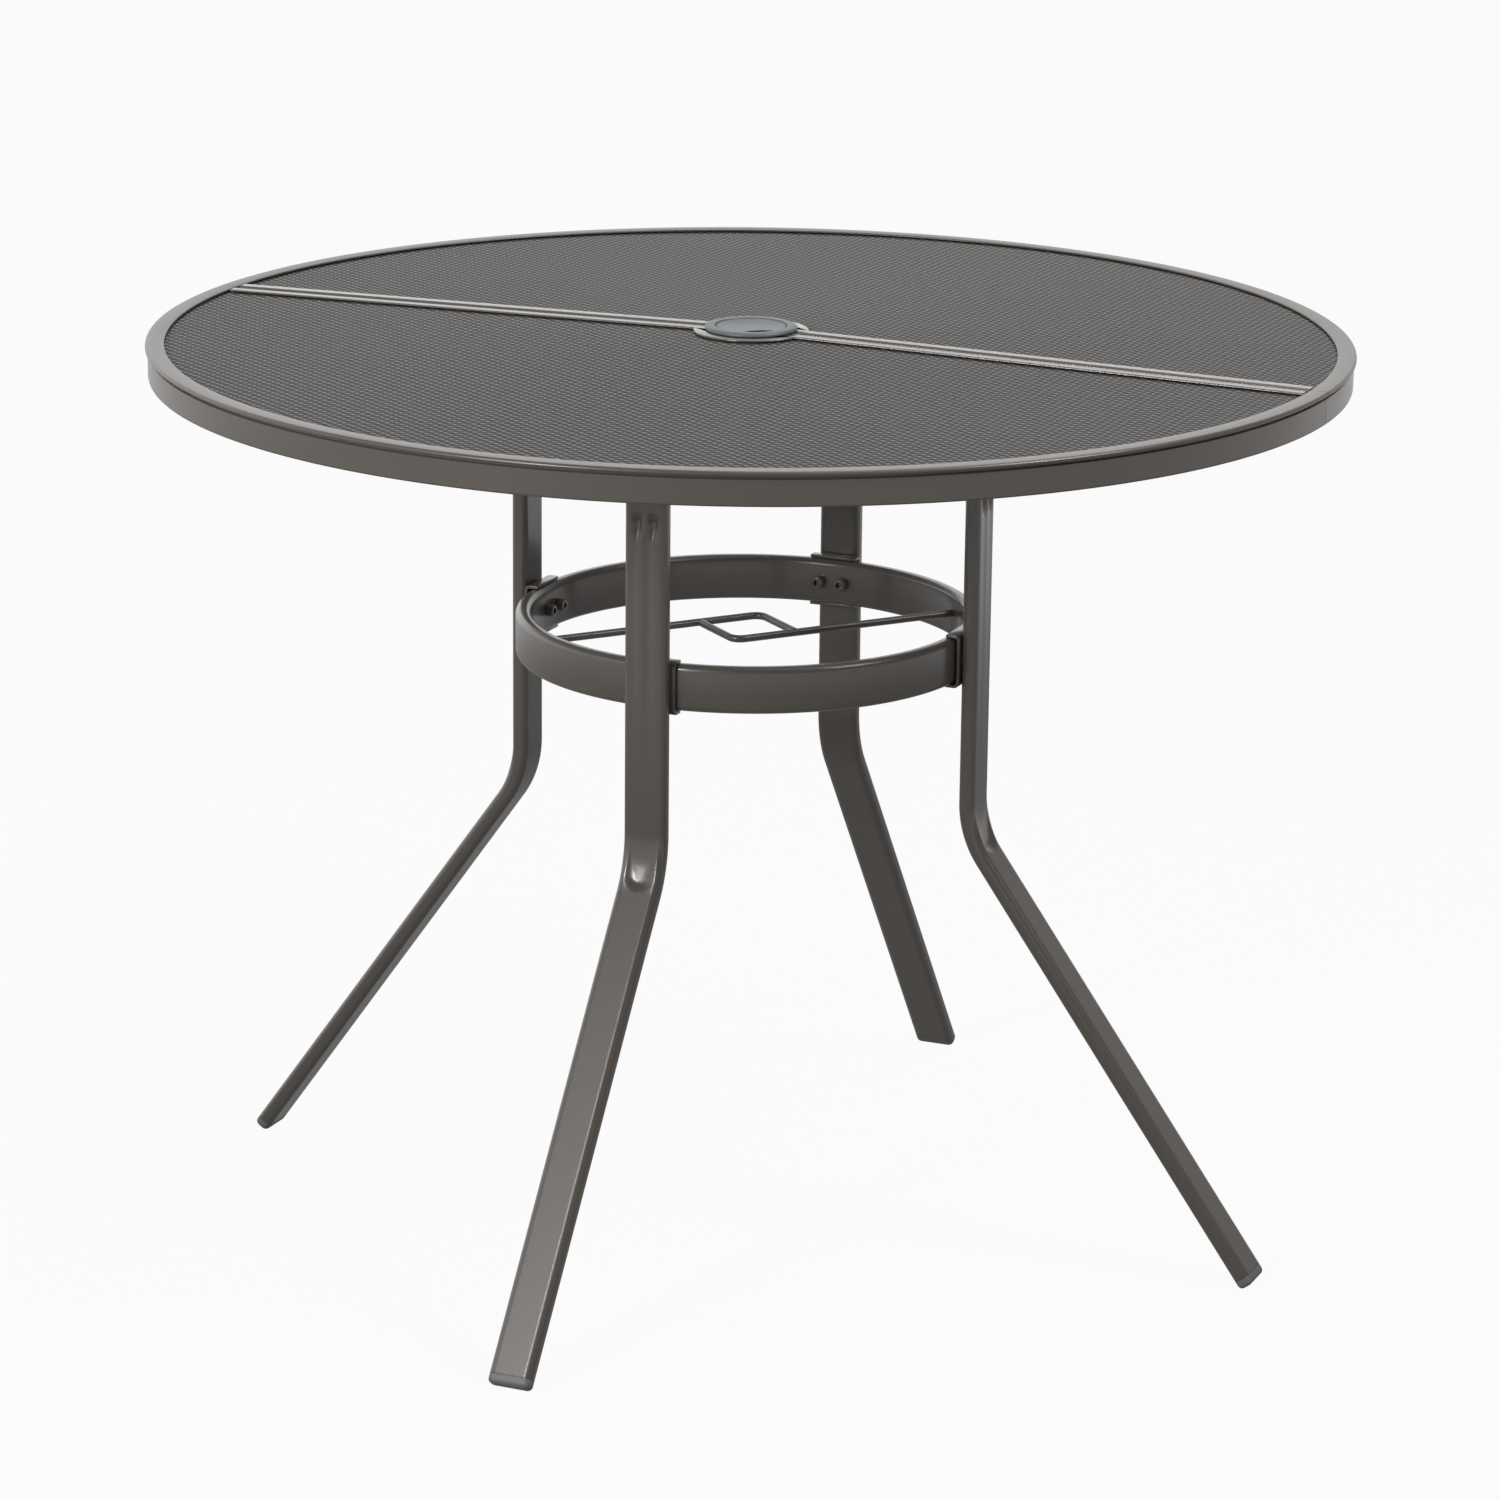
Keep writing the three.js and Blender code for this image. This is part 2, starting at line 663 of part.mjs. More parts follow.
// A lug welded inside the rim: a plate over the leg's arm and a tab against the rim's skirt
function makeLug(from, to) {
  const farthest = Math.max(Math.abs(from), Math.abs(to));
  const face = Math.sqrt((skirtInner * rimFacet) ** 2 - farthest ** 2) - clearance;
  const low = armHeight + tubeThickness / 2 + clearance;
  const high = low + lugThickness;
  const shape = new THREE.Shape();
  shape.moveTo(lugInnerEdge, low);
  shape.lineTo(face - lugThickness, low);
  shape.lineTo(face - lugThickness, low - lugTabDepth);
  shape.lineTo(face, low - lugTabDepth);
  shape.lineTo(face, high);
  shape.lineTo(lugInnerEdge, high);
  const angle = new THREE.ExtrudeGeometry(shape, { depth: to - from, bevelEnabled: false });
  angle.rotateX(Math.PI / 2).translate(0, to, 0);
  let lug = solidOf(angle);
  for (const y of [-screwSpacing / 2, screwSpacing / 2]) {
    if (y < from || y > to) continue;
    const bottom = new THREE.Vector3(lugScrewRadius, y, low - cutOverrun);
    const top = new THREE.Vector3(lugScrewRadius, y, high + cutOverrun);
    lug = lug.subtract(solidOf(roundBar(bottom, top, screwDiameter / 2 + clearance)));
  }
  return geometryOf(lug);
}

const legGeometry = makeLeg();
const footCapGeometry = makeFootCap();
const saddleGeometry = makeSaddle();
const rivetNutGeometry = makeRivetNut();
const nutFace = legRadius - tubeThickness / 2;
const headReach = (screwSpacing + headDiameter) / 2;
const headSeat = Math.sqrt((ringInner * ringFacet) ** 2 - headReach ** 2) - clearance;
const ringScrewLength = nutFace + nutLength - threadEnd - headSeat;
const ringScrewGeometry = makeScrew(ringScrewLength, ringHeadHeight);
const armScrewLength = tubeThickness + lugThickness + 2 * clearance + threadEnd;
const armScrewGeometry = makeScrew(armScrewLength, armHeadHeight);

for (const [place, turn] of [['right', 0], ['rear', 90], ['left', 180], ['front', 270]]) {
  const leg = new THREE.Group();
  leg.rotation.z = turn * degrees;
  table.add(leg);
  addPiece(`${place}_leg`, legGeometry, paint, leg);
  addPiece(`${place}_foot_cap`, footCapGeometry, footPlastic, leg);
  addPiece(`${place}_saddle_clamp`, saddleGeometry, darkPaint, leg);
  for (const [hand, y] of [['a', -screwSpacing / 2], ['b', screwSpacing / 2]]) {
    const ringScrew = addPiece(`${place}_ring_screw_${hand}`, ringScrewGeometry, zinc, leg);
    ringScrew.rotation.y = Math.PI / 2;
    ringScrew.position.set(headSeat, y, ringMiddle);
    const rivetNut = addPiece(`${place}_rivet_nut_${hand}`, rivetNutGeometry, zinc, leg);
    rivetNut.rotation.y = Math.PI / 2;
    rivetNut.position.set(nutFace, y, ringMiddle);
    const armScrew = addPiece(`${place}_arm_screw_${hand}`, armScrewGeometry, zinc, leg);
    armScrew.position.set(lugScrewRadius, y, armHeight - tubeThickness / 2 - clearance);
  }
  if (turn % 180 === 90) {
    addPiece(`${place}_rim_lug`, makeLug(-lugWidth / 2, lugWidth / 2), darkPaint, leg);
  } else {
    addPiece(`${place}_rim_lug_a`, makeLug(-lugWidth / 2, -seamGap / 2), darkPaint, leg);
    addPiece(`${place}_rim_lug_b`, makeLug(seamGap / 2, lugWidth / 2), darkPaint, leg);
  }
}

// The ring brace, a flat tube bent to a circle and welded shut, drilled for the clamp screws
function makeRingBrace() {
  const section = roundedRectangle(ringThickness, ringHeight, ringCorner, 2);
  const middle = ringOuter - ringThickness / 2;
  const rings = [];
  for (let i = 0; i < ringSteps; i++) {
    const angle = (2 * Math.PI * i) / ringSteps;
    rings.push(section.map((point) => new THREE.Vector3(
      (middle + point.x) * Math.cos(angle),
      (middle + point.x) * Math.sin(angle),
      ringMiddle + point.y,
    )));
  }
  let brace = solidOf(loft(rings, section, true));
  for (let quarter = 0; quarter < 4; quarter++) {
    for (const y of [-screwSpacing / 2, screwSpacing / 2]) {
      const from = new THREE.Vector3(ringInner - cutOverrun, y, ringMiddle);
      const to = new THREE.Vector3(ringOuter + cutOverrun, y, ringMiddle);
      const hole = roundBar(from, to, screwDiameter / 2 + clearance);
      brace = brace.subtract(solidOf(hole.rotateZ((quarter * Math.PI) / 2)));
    }
  }
  return geometryOf(brace);
}

// A guide rod: from the ring along one side of the pole, round a bend and across to the other rod
function makeGuideRod() {
  const radius = rodDiameter / 2;
  const along = poleGapAlong / 2 + radius;
  const across = poleGapAcross / 2 + radius;
  const reach = Math.sqrt((ringInner * ringFacet) ** 2 - (across + radius) ** 2) - clearance;
  const stations = [{ x: -reach, y: across, heading: 0 }];
  for (let k = 0; k <= bendSteps; k++) {
    const heading = (Math.PI / 2) * (k / bendSteps);
    const x = along - rodBend + rodBend * Math.sin(heading);
    const y = across - rodBend + rodBend * Math.cos(heading);
    stations.push({ x, y, heading });
  }
  stations.push({ x: along, y: radius + clearance - across, heading: Math.PI / 2 });
  const section = [];
  for (let k = 0; k < rodSides; k++) {
    const angle = (2 * Math.PI * (k + 0.5)) / rodSides;
    section.push(new THREE.Vector2(radius * Math.cos(angle), radius * Math.sin(angle)));
  }
  const rings = stations.map((station) => section.map((point) => new THREE.Vector3(
    station.x + point.x * Math.sin(station.heading),
    station.y + point.x * Math.cos(station.heading),
    point.y,
  )));
  return loft(rings, section);
}

addPiece('ring_brace', makeRingBrace(), paint);
const rodGeometry = makeGuideRod();
for (const [name, halfTurns] of [['left_pole_guide_rod', 0], ['right_pole_guide_rod', 1]]) {
  const rod = addPiece(name, rodGeometry, paint);
  rod.rotation.z = rodTurn * degrees + halfTurns * Math.PI;
  rod.position.z = ringMiddle + rodRise;
}

export default table;
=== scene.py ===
import math

import bmesh
import bpy
from mathutils import Matrix, Vector


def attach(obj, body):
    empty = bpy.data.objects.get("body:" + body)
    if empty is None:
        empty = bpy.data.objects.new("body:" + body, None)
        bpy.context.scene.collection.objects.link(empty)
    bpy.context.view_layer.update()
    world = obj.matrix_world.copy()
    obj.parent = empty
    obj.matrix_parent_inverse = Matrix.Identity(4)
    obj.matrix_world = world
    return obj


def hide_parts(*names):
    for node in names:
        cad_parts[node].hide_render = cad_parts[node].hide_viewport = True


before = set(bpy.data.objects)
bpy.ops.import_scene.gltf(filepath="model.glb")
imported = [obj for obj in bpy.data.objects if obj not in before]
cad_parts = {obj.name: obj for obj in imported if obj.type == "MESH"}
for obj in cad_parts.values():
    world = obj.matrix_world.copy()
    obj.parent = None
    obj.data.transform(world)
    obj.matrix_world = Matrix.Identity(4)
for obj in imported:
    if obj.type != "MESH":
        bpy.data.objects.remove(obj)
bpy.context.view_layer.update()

# The studio. The camera stands where the photo's ellipses and leg edges put it: 4.15 m from the table's
# axis, 1.58 m up, looking 16 degrees down. The floor shows white to the camera, with a trace of shadow. In
# the table's reflections it glows dim under and near the table, a painted shadow, and pale further out.
camera_place, camera_turn = (1.6303, -3.8148, 1.5757), (74.007, -0.5863, 23.2716)
sensor_width, focal_length, far_clip = 36, 128.57, 100
bpy.ops.object.camera_add(location=camera_place)
camera = bpy.context.object
camera.rotation_euler = [math.radians(angle) for angle in camera_turn]
camera.data.sensor_width = sensor_width
camera.data.lens = focal_length
camera.data.clip_end = far_clip
bpy.context.scene.camera = camera
bpy.context.scene.view_settings.view_transform = "Standard"


class Shade:
    """A socket in a material's node tree, so that a pattern is written as a sum of patterns."""

    def __init__(self, tree, socket=None):
        self.tree, self.socket = tree, socket

    def node(self, kind, settings=None, output=0, **inputs):
        """Adds a node, sets its settings, then gives its sockets their values or links."""
        made = self.tree.nodes.new("ShaderNode" + kind)
        for name, value in (settings or {}).items():
            setattr(made, name, value)
        for name, value in inputs.items():
            key = int(name[1:]) if name[1:].isdigit() else name.replace("_", " ")
            if isinstance(value, Shade):
                self.tree.links.new(value.socket, made.inputs[key])
            else:
                made.inputs[key].default_value = value
        return Shade(self.tree, made.outputs[output] if made.outputs else None)

    def math(self, operation, first, second):
        return self.node("Math", {"operation": operation}, i0=first, i1=second)

    def blend(self, first, second):
        """The first colour where this value is 0, the second where it is 1."""
        return self.node("Mix", {"data_type": "RGBA"}, output=2, i0=self, i6=first, i7=second)

    def ease(self, start, end, first=0.0, last=1.0):
        """The first value up to the start, the last from the end on, and a smooth step between."""
        return self.node("MapRange", {"interpolation_type": "SMOOTHSTEP"},
                         i0=self, i1=start, i2=end, i3=first, i4=last)

    def __add__(self, other):
        return self.math("ADD", self, other)

    def __radd__(self, other):
        return self.math("ADD", other, self)

    def __sub__(self, other):
        return self.math("SUBTRACT", self, other)

    def __rsub__(self, other):
        return self.math("SUBTRACT", other, self)

    def __mul__(self, other):
        return self.math("MULTIPLY", self, other)

    def __rmul__(self, other):
        return self.math("MULTIPLY", other, self)


def new_tree(owner):
    """Empties a material's or the world's node tree and returns it."""
    owner.use_nodes = True
    owner.node_tree.nodes.clear()
    return Shade(owner.node_tree)


floor_size, floor_drop = 60, 0.0005
floor_grey, white = (0.34, 0.34, 0.34, 1), (1, 1, 1, 1)
white_share, dim_strength = 0.95, 0.3
dim_reach, pale_reach, pale_share = 1.5, 2.9, 0.85
bpy.ops.mesh.primitive_plane_add(size=floor_size, location=(0, 0, -floor_drop))
floor = bpy.context.object
floor.name = "floor"
floor_sheet = bpy.data.materials.new("floor_sheet")
tree = new_tree(floor_sheet)
sheet = tree.node("BsdfDiffuse", Color=floor_grey)
glow = tree.node("Emission", Color=white, Strength=1.0)
dim_glow = tree.node("Emission", Color=white, Strength=dim_strength)
camera_ray = tree.node("LightPath", output="Is Camera Ray")
glossy_ray = tree.node("LightPath", output="Is Glossy Ray")
distance = tree.node("VectorMath", {"operation": "LENGTH"}, output="Value",
                     i0=tree.node("TexCoord", output="Object"))
far_out = distance.ease(dim_reach, pale_reach, 0.0, pale_share)
seen = tree.node("MixShader", i0=camera_ray * white_share, i1=sheet, i2=glow)
# Reflected, the floor glows dim near the table as a painted shadow, and pale further out.
mirrored = tree.node("MixShader", i0=far_out, i1=dim_glow, i2=glow)
tree.node("OutputMaterial", Surface=tree.node("MixShader", i0=glossy_ray, i1=seen, i2=mirrored))
floor.data.materials.append(floor_sheet)

# The room is a white sweep: bright behind the table and at its left, dimmer on the camera's side and
# overhead. Five soft boxes light the table, and the camera sees plain white behind it.
bright_side, room_front, room_rear = (-0.90, 0.43, 0.0), 0.22, 1.28
front_end, rear_end = -0.3, 0.9
ceiling_start, ceiling_end, ceiling_share = 0.35, 0.8, 0.4
world = bpy.data.worlds.new("studio")
bpy.context.scene.world = world
tree = new_tree(world)
heading = tree.node("TexCoord", output="Generated")
behind = tree.node("VectorMath", {"operation": "DOT_PRODUCT"}, output="Value", i0=heading, i1=bright_side)
level = behind.ease(front_end, rear_end, room_front, room_rear)
upward = tree.node("SeparateXYZ", output="Z", Vector=heading)
ceiling = upward.ease(ceiling_start, ceiling_end, 1.0, ceiling_share)
room = tree.node("Background", Color=white, Strength=level * ceiling)
backdrop = tree.node("Background", Color=white, Strength=1.0)
camera_ray = tree.node("LightPath", output="Is Camera Ray")
tree.node("OutputWorld", Surface=tree.node("MixShader", i0=camera_ray, i1=room, i2=backdrop))


def soft_box(name, place, aim, width, height, power):
    """A soft box: an area lamp at a place, aimed at a point."""
    bpy.ops.object.light_add(type="AREA", location=place)
    lamp = bpy.context.object
    lamp.name = name
    lamp.rotation_euler = (Vector(aim) - Vector(place)).to_track_quat("-Z", "Y").to_euler()
    lamp.data.shape = "RECTANGLE"
    lamp.data.size, lamp.data.size_y = width, height
    lamp.data.energy = power
    lamp.visible_camera = False


under_top, knee_spot = (0, 0, 0.6), (0, -0.2, 0.34)
soft_box("key_box", (-1.64, -2.72, 1.84), under_top, 3.0, 0.9, 5)
soft_box("spark_box", (-0.72, -3.18, 1.80), under_top, 0.4, 0.9, 40)
soft_box("strip_box", (-1.10, -2.80, 1.84), knee_spot, 0.22, 2.1, 24)
soft_box("right_box", (2.1, -0.1, 2.7), under_top, 0.9, 0.9, 44)
soft_box("top_box", (0.8, 0.5, 3.3), under_top, 2.2, 2.2, 24)

# The two rims, one round each half of the top. Each is sheet steel 1.5 mm thick, rolled to a bead, with a
# narrow neck, a skirt and a hem below it, bent to a half circle and powder coated warm dark grey.
table_radius, table_height = 0.475, 0.726
rim_width, rim_depth, rim_hem = 0.015, 0.026, 0.008
bead, lip, sheet_wall, skirt_inset = 0.0029, 0.0012, 0.0015, 0.0020
bead_roll, inner_roll, under_roll, hem_roll = 0.0023, 0.0008, 0.0006, 0.0014
neck_depth, neck_height, neck_slope = 0.0017, 0.0020, 0.0012
half_gap, round_steps, slack, wide_slack = 0.0003, 96, 1e-5, 1e-4
frame_grey = (0.074, 0.063, 0.053)


def begin(adder, name, **settings):
    """Adds a primitive with nothing else selected, names it and opens it in edit mode, all selected."""
    bpy.ops.object.select_all(action="DESELECT")
    adder(**settings)
    piece = bpy.context.object
    piece.name = piece.data.name = name
    bpy.ops.object.transform_apply(location=True, rotation=True, scale=True)
    bpy.ops.object.mode_set(mode="EDIT")
    pick_all("VERT")
    return piece


def pick(kind, test):
    """In edit mode, selects the VERT, EDGE or FACE elements whose middle passes a test, and no others."""
    bpy.ops.mesh.select_mode(type=kind)
    bpy.ops.mesh.select_all(action="DESELECT")
    mesh = bmesh.from_edit_mesh(bpy.context.object.data)
    if kind == "VERT":
        for vert in mesh.verts:
            vert.select_set(test(vert.co))
    elif kind == "EDGE":
        for edge in mesh.edges:
            edge.select_set(test((edge.verts[0].co + edge.verts[1].co) / 2))
    else:
        for face in mesh.faces:
            face.select_set(test(face.calc_center_median()))
    mesh.select_flush_mode()
    bmesh.update_edit_mesh(bpy.context.object.data)


def pick_all(kind="FACE"):
    bpy.ops.mesh.select_mode(type=kind)
    bpy.ops.mesh.select_all(action="SELECT")


def near(value, target, reach=slack):
    return abs(value - target) < reach


def extrude(move):
    bpy.ops.mesh.extrude_region_move(TRANSFORM_OT_translate={"value": move})


def shift(move):
    bpy.ops.transform.translate(value=move)


def resize(scale):
    bpy.ops.transform.resize(value=scale, center_override=(0, 0, 0))


def swing(angle, axis):
    bpy.ops.transform.rotate(value=angle, orient_axis=axis, center_override=(0, 0, 0))


def bevel(size, segments, kind="EDGES"):
    bpy.ops.mesh.bevel(offset=size, segments=segments, affect=kind)


def spin(angle, steps, axis=(0, 0, 1), centre=(0, 0, 0)):
    """Sweeps the selected outline round an axis."""
    bpy.ops.mesh.spin(steps=steps, angle=angle, axis=axis, center=centre)


def cut(place, normal, **settings):
    """Bisects all of the mesh with a plane."""
    pick_all()
    bpy.ops.mesh.bisect(plane_co=place, plane_no=normal, **settings)


def merge(reach=1e-6):
    """Selects all points and merges those closer than a distance."""
    pick_all("VERT")
    bpy.ops.mesh.remove_doubles(threshold=reach)


def only(piece):
    bpy.ops.object.select_all(action="DESELECT")
    piece.select_set(True)
    bpy.context.view_layer.objects.active = piece


def smooth(piece, sharp=35):
    """Shades a piece smooth, with edges past an angle sharp."""
    only(piece)
    bpy.ops.object.shade_smooth_by_angle(angle=math.radians(sharp))


def close_up(piece, sharp=35):
    """Leaves edit mode with doubles merged, normals outward and edges past an angle sharp."""
    merge()
    bpy.ops.mesh.normals_make_consistent(inside=False)
    bpy.ops.object.mode_set(mode="OBJECT")
    smooth(piece, sharp)


def move_mesh(piece, matrix):
    """Moves a piece's mesh, so that its object stays at the origin."""
    piece.data.transform(matrix)
    piece.data.update()


def turn(degrees, axis="Z"):
    return Matrix.Rotation(math.radians(degrees), 4, axis)


def copy_piece(piece, name, matrix):
    """A copy with its own mesh, set in its own place."""
    twin = piece.copy()
    twin.data = piece.data.copy()
    twin.name = twin.data.name = name
    bpy.context.collection.objects.link(twin)
    move_mesh(twin, matrix)
    return twin


def dress(piece, material, node, body="table"):
    """Gives a piece its material and body, and hides the CAD node that it stands for."""
    piece.data.materials.clear()
    piece.data.materials.append(material)
    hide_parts(node)
    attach(piece, body)


def shaded(colour, share):
    """A colour made darker or lighter."""
    return tuple(c * share for c in colour)


def tones(colour, spread):
    """A colour's darker and lighter tone, as colours with full alpha."""
    return [shaded(colour, share) + (1,) for share in (1 - spread, 1 + spread)]


def powder_coat(name, colour, roughness=0.36, gloss=0.6):
    """Powder coat: a satin film with a fine orange peel, a little uneven in tone and gloss."""
    coat = bpy.data.materials.new(name)
    tree = new_tree(coat)
    place = tree.node("TexCoord", output="Object")
    cloud = tree.node("TexNoise", Vector=place, Scale=7.0, Detail=3.0)
    peel = tree.node("TexNoise", Vector=place, Scale=520.0, Detail=2.0, Roughness=0.6)
    speck = tree.node("TexNoise", Vector=place, Scale=2600.0, Detail=1.0)
    tone = cloud * 0.5 + speck * 0.5
    rough_spread = 0.08
    body = tree.node("BsdfPrincipled", Metallic=0.0, IOR=1.5, Coat_Weight=gloss, Coat_Roughness=0.16,
                     Base_Color=tone.blend(*tones(colour, 0.12)),
                     Roughness=cloud * rough_spread + peel * rough_spread + (roughness - rough_spread),
                     Normal=tree.node("Bump", Strength=0.12, Distance=0.0002, Height=peel))
    tree.node("OutputMaterial", Surface=body)
    return coat


frame_coat = powder_coat("frame_coat", frame_grey, gloss=0.25)

# Its section stands in the XZ plane: first the bead, then the neck, the skirt and the hem under it.
rim = begin(bpy.ops.mesh.primitive_plane_add, "front_rim_sheet", size=1, rotation=(math.pi / 2, 0, 0))
resize((rim_width, 1, bead))
shift((table_radius - rim_width / 2, 0, table_height - bead / 2))
for x, z, size, segments in ((table_radius, table_height, bead_roll, 7),
                             (table_radius - rim_width, table_height, inner_roll, 3),
                             (table_radius, table_height - bead, under_roll, 5)):
    pick("VERT", lambda v: near(v.x, x) and near(v.z, z))
    bevel(size, segments, "VERTICES")
skirt = table_radius - skirt_inset
neck = skirt - neck_depth
for x in (neck, neck - sheet_wall):
    cut((x, 0, 0), (1, 0, 0))
pick("EDGE", lambda m: near(m.z, table_height - bead) and neck - sheet_wall < m.x < neck)
extrude((0, 0, -neck_height))
extrude((neck_depth, 0, -neck_slope))
extrude((0, 0, bead + neck_height + neck_slope + sheet_wall - rim_depth))
extrude((0, 0, -sheet_wall))
hem_top = table_height - rim_depth + sheet_wall
pick("EDGE", lambda m: near(m.x, skirt - sheet_wall) and m.z < hem_top - slack)
extrude((sheet_wall - rim_hem, 0, 0))
pick_all()
bpy.ops.mesh.dissolve_faces()
pick("VERT", lambda v: near(v.z, table_height - bead) and v.x < neck - sheet_wall + slack)
shift((0, 0, bead - lip))
pick("VERT", lambda v: near(v.x, skirt) and near(v.z, table_height - rim_depth))
bevel(hem_roll, segments=3, kind="VERTICES")
pick_all()
spin(math.pi, round_steps)
merge()
cut((0, -half_gap, 0), (0, -1, 0), clear_inner=True, use_fill=True)
close_up(rim, sharp=40)
dress(rim, frame_coat, "front_rim")
dress(copy_piece(rim, "rear_rim_sheet", turn(180)), frame_coat, "rear_rim")

# The seam side of each half: two straight rolled bars and a half ring round the umbrella hole, pressed
# and welded as one. They rise 5.8 mm from the rim to the hole, and the two halves meet in a soft groove.
# The rolls are a little larger than the skirt below them, and all are joined and then cut at the seam.
hub_inner, hub_outer, hub_rise = 0.0315, 0.0455, 0.0058
bar_width, bar_depth, bar_reach = 0.0137, 0.010, 0.4585
past_seam, past_face, roll_more, skirt_less, skirt_up = 0.002, 0.01, 0.0002, 0.0005, 0.001
groove_depth, groove_edge, lip_edge, lip_start, facet_slack = 0.0022, 0.0002, 0.0009, 0.006, 0.0005
groove = ((0.0088, 0.00015), (0.0066, 0.0004), (0.0052, 0.0007), (0.0042, 0.0010), (half_gap, groove_depth))


def box(name, low, high):
    """A plain block between two corners, to be joined or cut."""
    block = begin(bpy.ops.mesh.primitive_cube_add, name, size=1)
    resize([b - a for a, b in zip(low, high)])
    shift([(a + b) / 2 for a, b in zip(low, high)])
    bpy.ops.object.mode_set(mode="OBJECT")
    return block


def disc(name, radius, low, high, steps=round_steps, place=(0, 0)):
    """A plain round block between two heights, to be joined or cut."""
    block = begin(bpy.ops.mesh.primitive_cylinder_add, name, vertices=steps, radius=radius,
                  depth=high - low, location=(place[0], place[1], (low + high) / 2))
    bpy.ops.object.mode_set(mode="OBJECT")
    return block


def apply(piece, kind, **settings):
    """Gives a piece a modifier and applies it."""
    modifier = piece.modifiers.new(kind.lower(), kind)
    for name, value in settings.items():
        setattr(modifier, name, value)
    only(piece)
    bpy.ops.object.modifier_apply(modifier=modifier.name)


def join(piece, other, operation="UNION"):
    """Joins another block to a piece, or cuts it out, and removes the block."""
    apply(piece, "BOOLEAN", object=other, operation=operation, solver="MANIFOLD")
    bpy.data.objects.remove(other)


def rise_at(reach):
    """How far the top rises at a distance from its centre: not at the rim, and most at the half rings."""
    share = (table_radius - rim_width - reach) / (table_radius - rim_width - hub_outer)
    return hub_rise * min(max(share, 0), 1)


def on_lip_edge(middle):
    """Whether an edge is the top outer edge of a bar or of the half ring, away from the bars' ends."""
    outer = near(middle.y, -half_gap - bar_width) or math.hypot(middle.x, middle.y) > hub_outer - facet_slack
    between = abs(middle.x) < bar_reach - wide_slack and middle.y < -lip_start
    return near(middle.z, top) and outer and between


top, lip_under, under, bar_foot = [table_height - depth for depth in (0, lip, bead, bar_depth)]
bars = box("front_seam_sheet", (-bar_reach, -half_gap - bar_width, lip_under), (bar_reach, past_seam, top))
join(bars, disc("hub", hub_outer, lip_under, top))
join(bars, box("seam_roll", (-bar_reach, -half_gap - skirt_inset - sheet_wall - roll_more, under),
               (bar_reach, past_seam, top)))
join(bars, disc("hub_roll", hub_inner + skirt_inset + sheet_wall + roll_more, under, top))
join(bars, disc("hole", hub_inner, under - past_face, top + past_face), "DIFFERENCE")
seam_skirt = box("seam_skirt", (skirt_less - bar_reach, -half_gap - skirt_inset - sheet_wall, bar_foot),
                 (bar_reach - skirt_less, -half_gap - skirt_inset, under + skirt_up))
join(seam_skirt, disc("hub_skirt", hub_inner + skirt_inset + sheet_wall, bar_foot, under + skirt_up))
join(seam_skirt, disc("hub_skirt_hole", hub_inner + skirt_inset, bar_foot - past_face, top), "DIFFERENCE")
join(bars, seam_skirt)
only(bars)
bpy.ops.object.mode_set(mode="EDIT")
cut((0, -half_gap, 0), (0, -1, 0), clear_inner=True, use_fill=True)
for y, drop in groove:
    if y > half_gap:
        cut((0, -y, 0), (0, 1, 0))
    pick("VERT", lambda v: near(v.y, -y) and near(v.z, top))
    shift((0, 0, -drop))
pick("EDGE", lambda m: near(m.z, top - groove_depth) and near(m.y, -half_gap))
bevel(groove_edge, segments=2)
pick("EDGE", on_lip_edge)
bevel(lip_edge, segments=3)
for x in (-hub_outer, hub_outer):
    cut((x, 0, 0), (1, 0, 0))
mesh = bmesh.from_edit_mesh(bars.data)
for vert in mesh.verts:
    vert.co.z += rise_at(abs(vert.co.x))
bmesh.update_edit_mesh(bars.data)
close_up(bars, sharp=40)
seam_coat = powder_coat("seam_coat", frame_grey, gloss=0.9)
dress(bars, seam_coat, "front_seam_bar")
dress(copy_piece(bars, "rear_seam_sheet", turn(180)), seam_coat, "rear_seam_bar")

# The mesh panels, one in each half: expanded steel whose diamonds repeat every 11.9 mm along the seam and
# every 7.5 mm across it. The strands twist as the sheet is stretched, so each one leans. A panel's edges
# are caught under the frame.
mesh_long, mesh_wide = 0.01186, 0.0075
hole_long, hole_wide = 0.0042, 0.00268
strand_lean, strand_thickness, mesh_drop, weld_reach = 0.0004, 0.0013, 0.0008, 1e-5
mesh_edge, mesh_seam_edge, mesh_hub_edge = 0.4692, 0.0044, 0.0357
# The bonds' lighter grey is a painted highlight on the mesh.
mesh_grey, bond_highlight_grey = (0.056, 0.053, 0.051), (0.090, 0.086, 0.083)

# A bond with two of its strands is doubled to one cell of the pattern, and the cell is repeated.
grid = begin(bpy.ops.mesh.primitive_plane_add, "mesh_grid", size=1)
swing(math.pi / 4, "Z")
resize(((mesh_long - 2 * hole_long) / math.sqrt(2), (mesh_wide - 2 * hole_wide) / math.sqrt(2), 1))
bond_wide = mesh_wide / 2 - hole_wide
pick("EDGE", lambda m: m.x > 0 and m.y > 0)
extrude((hole_long, hole_wide, 0))
pick("EDGE", lambda m: m.x < 0 and m.y > 0 and m.y < bond_wide)
extrude((-hole_long, hole_wide, 0))
pick("VERT", lambda v: near(v.x, 0) and near(v.y, bond_wide))
shift((0, 0, strand_lean))
pick("VERT", lambda v: near(v.x, 0) and near(v.y, -bond_wide)
     or near(abs(v.x), mesh_long / 2) and near(v.y, hole_wide))
shift((0, 0, -strand_lean))
bpy.ops.object.mode_set(mode="OBJECT")
twin = copy_piece(grid, "bond_twin", Matrix.Translation((mesh_long / 2, mesh_wide / 2, 0)))
only(grid)
twin.select_set(True)
bpy.ops.object.join()
columns = 2 * math.ceil(mesh_edge / mesh_long) + 2
rows = 2 * math.ceil(mesh_edge / mesh_wide) + 2
